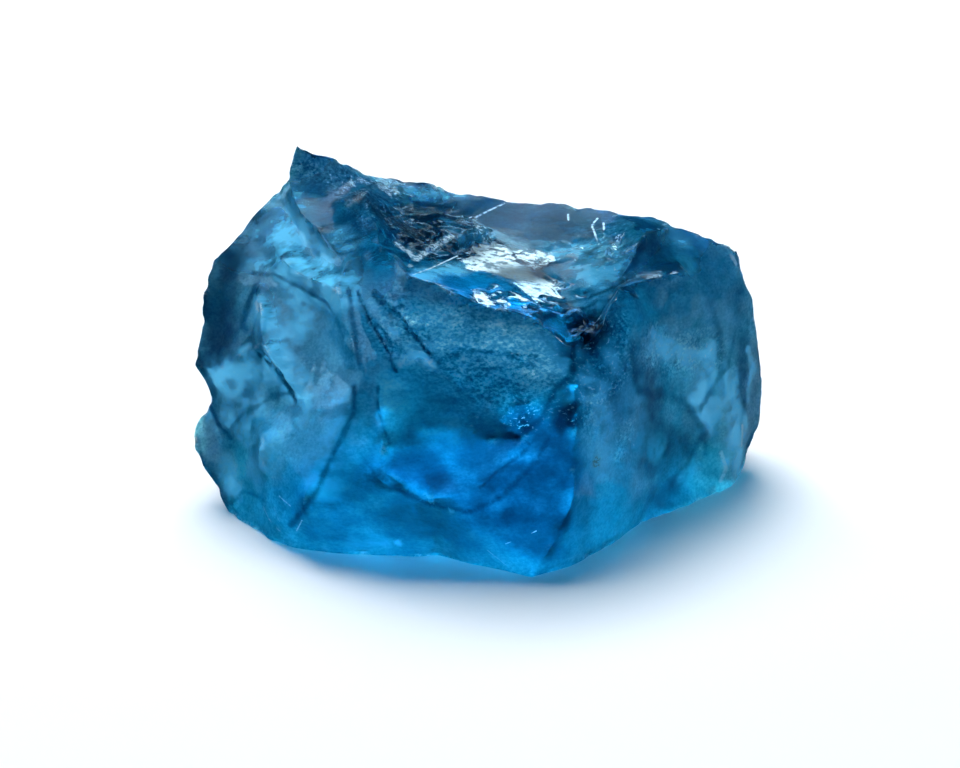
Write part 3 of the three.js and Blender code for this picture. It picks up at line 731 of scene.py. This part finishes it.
def crystal_color(tree, pitted, coarse, fine, streaky, scratches):
    """The colour of the faces with the painted sheen, the crushed white marks with their painted glints and
    the stain, and how solid these make them.
    """
    bruise_and_glint = bruises_and_glints(tree, pitted, fine, scratches)
    # painted sheen: milky patches where the faces catch light, broken into streaks
    sheen_amount = math_node(tree, "MULTIPLY", mask(tree, "painted_sheen"), ramp(tree, streaky, 0.38, 0.56, 0.45, 1.35))
    stain = math_node(tree, "MULTIPLY", mask(tree, "stain"), ramp(tree, fine, 0.46, 0.56, 0.0, 0.8))
    color = crystal_tint(tree, pitted, coarse, fine, streaky)
    color = blended(tree, sheen_amount, color, PAINTED_SHEEN_COLOR)
    color = blended(tree, bruise_and_glint, color, BRUISE_AND_GLINT_COLOR)
    color = blended(tree, stain, color, STAIN_COLOR)
    solid = math_node(tree, "MAXIMUM", math_node(tree, "MAXIMUM", bruise_and_glint, sheen_amount), stain)
    return color, solid


def grain_bump(tree, pitted, coarse, fine):
    """The finest roughness of the faces, stronger where they are pitted."""
    bump = tree.nodes.new("ShaderNodeBump")
    bump.inputs["Distance"].default_value = BUMP_HEIGHT
    tree.links.new(math_node(tree, "MULTIPLY_ADD", pitted, 0.6, 0.25), bump.inputs["Strength"])
    tree.links.new(math_node(tree, "MULTIPLY_ADD", fine, 0.4, coarse), bump.inputs["Height"])
    return bump.outputs[0]


def blended(tree, amount, color, other):
    """A colour that goes over to the other as amount goes up to a half."""
    mix = tree.nodes.new("ShaderNodeMix")
    mix.data_type = "RGBA"
    tree.links.new(math_node(tree, "MINIMUM", math_node(tree, "MULTIPLY", amount, 2.0), 1.0), mix.inputs[0])
    tree.links.new(color, mix.inputs[6])
    mix.inputs[7].default_value = other
    return mix.outputs[2]


def crystal_tint(tree, pitted, coarse, fine, streaky):
    """How much of each colour a face lets through, with the painted light and shade in it."""
    dark_pit = math_node(tree, "MULTIPLY", ramp(tree, coarse, 0.46, 0.34, 0.0, 0.55), pitted)
    light_pit = math_node(tree, "MULTIPLY", ramp(tree, coarse, 0.53, 0.64, 0.0, 0.8), pitted)
    level = math_node(tree, "MULTIPLY", mask(tree, "tone_with_painted_light_and_shade"), math_node(tree, "SUBTRACT", 1.0, dark_pit))
    level = math_node(tree, "MULTIPLY", level, math_node(tree, "ADD", 1.0, light_pit))
    level = math_node(tree, "MULTIPLY", level, ramp(tree, streaky, 0.36, 0.60, 0.74, 1.22))
    grain = math_node(tree, "MULTIPLY_ADD", pitted, 0.5, 0.25)
    grain = math_node(tree, "MULTIPLY", grain, ramp(tree, fine, 0.38, 0.62, -0.7, 0.7))
    level = math_node(tree, "MULTIPLY", level, math_node(tree, "ADD", 1.0, grain))
    tint = tree.nodes.new("ShaderNodeCombineColor")
    for channel, power, share in zip(("Red", "Green", "Blue"), TINT_POWERS, TINT_SHARES):
        part = math_node(tree, "MULTIPLY", math_node(tree, "POWER", level, power), share)
        tree.links.new(part, tint.inputs[channel])
    return tint.outputs[0]


def bruises_and_glints(tree, pitted, fine, scratches):
    """Where the crystal is crushed white: specks in the pitted stretches, rubbed ridges and scratches. The
    specks and ridges also stand in for glints: painted highlight.
    """
    specks = math_node(tree, "MULTIPLY", ramp(tree, fine, 0.61, 0.70, 0.0, 0.45), pitted)
    worn_glint = math_node(tree, "MULTIPLY", ramp(tree, fine, 0.42, 0.56, 0.0, 0.8), mask(tree, "worn_glint"))
    lines = scratch(tree, *scratches[0])
    for ends in scratches[1:]:
        lines = math_node(tree, "MAXIMUM", lines, scratch(tree, *ends))
    lines = math_node(tree, "MULTIPLY", lines, ramp(tree, fine, 0.38, 0.56, 0.35, 1.15))
    return math_node(tree, "MAXIMUM", math_node(tree, "MAXIMUM", specks, worn_glint), lines)


def scratch(tree, start, end, half_width, white):
    """A thin line between two spots, given in mm."""
    place = tree.nodes.new("ShaderNodeTexCoord").outputs["Object"]
    way = Vector(end - start) * MM
    offset = vector_node(tree, "SUBTRACT", place, Vector(start) * MM)
    reach = vector_node(tree, "DOT_PRODUCT", offset, way)
    part = math_node(tree, "MULTIPLY", reach, 1.0 / way.length_squared)
    part = math_node(tree, "MINIMUM", math_node(tree, "MAXIMUM", part, 0.0), 1.0)
    nearest = vector_node(tree, "SCALE", way, None, part)
    away = vector_node(tree, "DISTANCE", offset, nearest)
    return ramp(tree, away, half_width * MM, 0.5 * half_width * MM, 0.0, white)


def scratch_lines(tree):
    """The scratches as straight pieces, their spots found on the stone."""
    lines = []
    for side, spots, half_width, white in SCRATCHES.values():
        found = [side(tree, *spot)[0] for spot in spots]
        lines += [(start, end, half_width, white) for start, end in zip(found[:-1], found[1:])]
    return lines


def vector_node(tree, operation, first, second, scale=None):
    node = tree.nodes.new("ShaderNodeVectorMath")
    node.operation = operation
    for socket, value in zip(node.inputs, (first, second)):
        if isinstance(value, Vector):
            socket.default_value = value
        elif value is not None:
            tree.links.new(value, socket)
    if scale is not None:
        tree.links.new(scale, node.inputs["Scale"])
    return node.outputs["Value" if operation in ("DOT_PRODUCT", "DISTANCE") else "Vector"]


def mask(tree, name):
    """Reads one of the numbers kept on the mesh."""
    node = tree.nodes.new("ShaderNodeAttribute")
    node.attribute_name = name
    return node.outputs["Fac"]


def math_node(tree, operation, *values):
    node = tree.nodes.new("ShaderNodeMath")
    node.operation = operation
    for socket, value in zip(node.inputs, values):
        if isinstance(value, (int, float)):
            socket.default_value = value
        else:
            tree.links.new(value, socket)
    return node.outputs[0]


def ramp(tree, value, from_low, from_high, to_low, to_high):
    node = tree.nodes.new("ShaderNodeMapRange")
    tree.links.new(value, node.inputs["Value"])
    node.inputs["From Min"].default_value = from_low
    node.inputs["From Max"].default_value = from_high
    node.inputs["To Min"].default_value = to_low
    node.inputs["To Max"].default_value = to_high
    return node.outputs["Result"]


def noise_node(tree, length, turn, stretch):
    """Fine unevenness with grains of this length in mm, drawn out down to the right."""
    mapping = tree.nodes.new("ShaderNodeMapping")
    mapping.inputs["Rotation"].default_value = (0.0, math.radians(turn), 0.0)
    mapping.inputs["Scale"].default_value = stretch
    tree.links.new(tree.nodes.new("ShaderNodeTexCoord").outputs["Object"], mapping.inputs["Vector"])
    grain = tree.nodes.new("ShaderNodeTexNoise")
    grain.inputs["Scale"].default_value = 1.0 / (length * MM)
    grain.inputs["Detail"].default_value = 3.0
    grain.inputs["Roughness"].default_value = 0.6
    tree.links.new(mapping.outputs[0], grain.inputs["Vector"])
    return grain.outputs[0]


# ---------- the studio ----------

def floor_material():
    material = bpy.data.materials.new("studio_floor")
    material.use_nodes = True
    shader = material.node_tree.nodes["Principled BSDF"]
    shader.inputs["Base Color"].default_value = FLOOR_COLOR
    shader.inputs["Roughness"].default_value = 0.9
    return material


def make_floor():
    mesh = bpy.data.meshes.new("floor")
    around = ((-1, -1), (1, -1), (1, 1), (-1, 1))
    corners = [(FLOOR_HALF * x, FLOOR_HALF * y, -FLOOR_DROP) for x, y in around]
    mesh.from_pydata(corners, [], [(0, 1, 2, 3)])
    mesh.materials.append(floor_material())
    floor = bpy.data.objects.new("floor", mesh)
    bpy.context.scene.collection.objects.link(floor)
    floor.visible_glossy = False


def softbox(name, azimuth, elevation, distance, width, height, brightness, lights, color=(1, 1, 1)):
    """A light for the floor, the crystal's body or its gloss, placed by its direction from the stone."""
    light = bpy.data.lights.new(name, "AREA")
    light.shape = "RECTANGLE"
    light.size = width
    light.size_y = height
    light.color = color
    light.energy = brightness * math.pi * width * height
    lamp = bpy.data.objects.new(name, light)
    direction = Vector(towards(azimuth, elevation))
    lamp.location = LIGHT_AIM + direction * distance
    lamp.rotation_mode = "QUATERNION"
    lamp.rotation_quaternion = direction.to_track_quat("Z", "Y")
    lamp.visible_diffuse = lights == "floor"
    lamp.visible_transmission = lights == "body"
    lamp.visible_glossy = lights == "gloss"
    bpy.context.scene.collection.objects.link(lamp)


def make_lights():
    """Azimuth, elevation, distance, width and height in metres, brightness, what it lights, colour."""
    softbox("left_band", -85, 30, 0.5, 0.22, 0.24, 1.0, "gloss", (0.33, 0.70, 1.0))
    softbox("left_cheek", -123, 33, 0.5, 0.30, 0.20, 0.5, "gloss", (0.33, 0.70, 1.0))
    softbox("left_low", -98, 11, 0.5, 0.40, 0.18, 0.3, "gloss", (0.25, 0.72, 1.0))
    softbox("right_card", 94, -15, 0.5, 0.22, 0.16, 0.25, "gloss", (0.25, 0.72, 1.0))
    softbox("right_low_card", 60, -22, 0.5, 0.26, 0.14, 0.25, "gloss", (0.33, 0.75, 1.0))
    softbox("front_card", -162, 16, 0.6, 0.30, 0.30, 0.05, "gloss", (0.5, 0.85, 1.0))
    softbox("back_softbox", *BACK_LIGHT, 0.6, 0.18, 0.12, 4.2, "gloss", (0.66, 0.92, 1.0))
    softbox("back_card", -10, 63, 0.6, 0.4, 0.25, 0.12, "gloss", (0.05, 0.55, 1.0))
    softbox("front_strip", 180, 4, 0.6, 0.6, 0.08, 4.0, "floor")
    softbox("fill", 180, 55, 0.8, 0.8, 0.8, 0.8, "floor", (0.1, 0.6, 1.0))
    softbox("floor_key", -13, 59, 0.6, 0.35, 0.3, 16.3, "floor")
    softbox("body_key", 0, 60, 0.6, 0.4, 0.4, 84.0, "body")


def make_world():
    """The camera sees a pale backdrop. The stone and the floor stand in a dim blue room."""
    world = bpy.data.worlds.new("studio")
    bpy.context.scene.world = world
    world.use_nodes = True
    tree = world.node_tree
    tree.nodes.clear()
    output = tree.nodes.new("ShaderNodeOutputWorld")
    room = tree.nodes.new("ShaderNodeBackground")
    path = tree.nodes.new("ShaderNodeLightPath")
    mix = tree.nodes.new("ShaderNodeMix")
    mix.data_type = "RGBA"
    tree.links.new(path.outputs["Is Camera Ray"], mix.inputs[0])
    mix.inputs[6].default_value = ROOM_COLOR
    mix.inputs[7].default_value = BACKDROP_COLOR
    tree.links.new(mix.outputs[2], room.inputs["Color"])
    tree.links.new(room.outputs[0], output.inputs["Surface"])


def make_camera():
    """In front of the stone, looking down at it."""
    camera = bpy.data.cameras.new("camera")
    camera.lens = CAMERA_LENS
    camera.clip_start = 1 * MM
    viewer = bpy.data.objects.new("camera", camera)
    back = Vector(towards(180.0, CAMERA_ELEVATION))
    viewer.location = CAMERA_TARGET + back * CAMERA_DISTANCE
    viewer.rotation_mode = "QUATERNION"
    viewer.rotation_quaternion = back.to_track_quat("Z", "Y")
    bpy.context.scene.collection.objects.link(viewer)
    bpy.context.scene.camera = viewer


def make_stone():
    """The topaz: a finer copy of the CAD solid, with its chips, masks, relief and material."""
    stone = refined_copy(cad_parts["topaz"], "topaz_crystal")
    mesh = stone.data
    tree = tree_of(mesh)
    points, speckle, chipped = pressed(points_of(mesh), tree)
    put_points(mesh, points)
    keep_mask(mesh, "speckle", speckle)
    tree = tree_of(mesh)
    facings = facings_of(mesh)
    pitted = strongest(points, facings, tree, PITTED)
    ridge_distance = far_from_ridges(mesh, points)
    splinter_height, splinter_shadow = splinters(points, tree)
    paint(mesh, points, facings, tree, pitted, ridge_distance, splinter_shadow, chipped)
    points = relieved(points, facings, pitted, ridge_distance, splinter_height)
    put_points(mesh, np.clip(points, STONE_LOW, STONE_HIGH))
    mesh.materials.clear()
    mesh.materials.append(crystal_material(scratch_lines(tree_of(mesh))))
    mesh.shade_smooth()
    mesh.set_sharp_from_angle(angle=math.radians(SHARP_ANGLE))
    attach(stone, "root")
    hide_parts("topaz")


make_camera()
make_world()
make_floor()
make_lights()
make_stone()
bpy.context.scene.view_settings.view_transform = "Standard"
